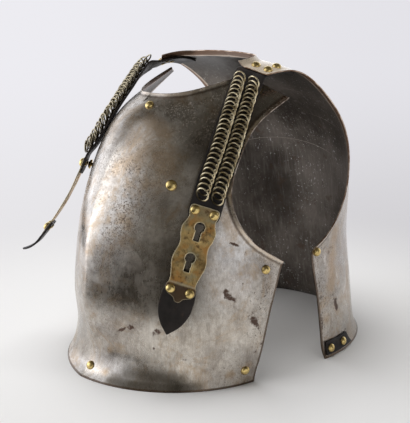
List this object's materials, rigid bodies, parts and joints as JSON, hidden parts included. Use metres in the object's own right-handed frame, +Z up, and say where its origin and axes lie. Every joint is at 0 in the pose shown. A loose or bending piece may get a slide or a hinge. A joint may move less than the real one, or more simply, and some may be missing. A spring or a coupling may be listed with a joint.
{
  "type": "cuirass",
  "caption": "Plate cuirass: steel breastplate and backplate standing on their lower edges, linked at the shoulders by chain-covered leather straps with brass keyhole plates.",
  "frame": {"origin": "middle of the breastplate's lower edge, on the floor under its front", "axes": "+X to the wearer's left, +Y from the breast to the back, +Z up; the breast faces -Y"},
  "size_m": [0.3842, 0.5243, 0.453],
  "materials": {
    "breast_steel": "worn satin with brown rust mottling",
    "back_steel": "worn satin outside, dark and speckled inside",
    "rivet_brass": "aged, rubbed bright on the domes",
    "plate_brass": "mottled orange and olive patina",
    "chain_brass": "dull greenish patina",
    "strap_leather": "dry, dark and cracked"
  },
  "bodies": {
    "breast": {"breastplate": "breast_steel", "breast_rivets": "rivet_brass", "left_stud": "rivet_brass", "right_stud": "rivet_brass"},
    "back": {"backplate": "back_steel", "back_rivets": "rivet_brass", "left_belt_stub": "strap_leather", "left_belt_rivets": "rivet_brass", "left_strap_root": "strap_leather", "left_anchor_rivets": "rivet_brass", "right_belt_stub": "strap_leather", "right_belt_rivets": "rivet_brass", "right_strap_root": "strap_leather", "right_anchor_rivets": "rivet_brass"},
    "left_chain_strap": {"left_strap": "strap_leather", "left_outer_chain": "chain_brass", "left_inner_chain": "chain_brass"},
    "left_end_plate": {"left_strap_end": "strap_leather", "left_keyhole_plate": "plate_brass", "left_upper_rivets": "rivet_brass", "left_lower_rivets": "rivet_brass", "left_tongue_root": "strap_leather"},
    "left_end_tongue": {"left_tongue": "strap_leather"},
    "right_chain_strap": {"right_strap": "strap_leather", "right_outer_chain": "chain_brass", "right_inner_chain": "chain_brass"},
    "right_end_plate": {"right_strap_end": "strap_leather", "right_keyhole_plate": "plate_brass", "right_upper_rivets": "rivet_brass", "right_lower_rivets": "rivet_brass", "right_tongue_root": "strap_leather"},
    "right_end_tongue": {"right_tongue": "strap_leather"}
  },
  "joints": [
    {"name": "back_swing", "type": "hinge", "parent": "breast", "child": "back", "pos_m": [0, 0.232, 0.432], "axis": [-1, 0, 0], "range_deg": [0, 13]},
    {"name": "left_strap_lift", "type": "hinge", "parent": "back", "child": "left_chain_strap", "pos_m": [0.10896, 0.2268, 0.43093], "axis": [-0.9117, -0.3687, 0.1812], "range_deg": [0, 70]},
    {"name": "left_plate_flex", "type": "hinge", "parent": "left_chain_strap", "child": "left_end_plate", "pos_m": [0.13585, 0.1231, 0.25897], "axis": [-0.6303, -0.7136, 0.3058], "range_deg": [0, 60]},
    {"name": "left_tongue_flex", "type": "hinge", "parent": "left_end_plate", "child": "left_end_tongue", "pos_m": [0.13631, 0.06868, 0.13301], "axis": [-0.6303, -0.7136, 0.3058], "range_deg": [0, 60]},
    {"name": "right_strap_lift", "type": "hinge", "parent": "back", "child": "right_chain_strap", "pos_m": [-0.10893, 0.22687, 0.43091], "axis": [-0.9181, 0.2649, -0.2948], "range_deg": [0, 70]},
    {"name": "right_plate_flex", "type": "hinge", "parent": "right_chain_strap", "child": "right_end_plate", "pos_m": [-0.09337, 0.08082, 0.29978], "axis": [-0.7757, 0.6105, -0.1597], "range_deg": [0, 60]},
    {"name": "right_tongue_flex", "type": "hinge", "parent": "right_end_plate", "child": "right_end_tongue", "pos_m": [-0.12085, 0.0154, 0.18321], "axis": [-0.7757, 0.6105, -0.1597], "range_deg": [0, 60]}
  ]
}
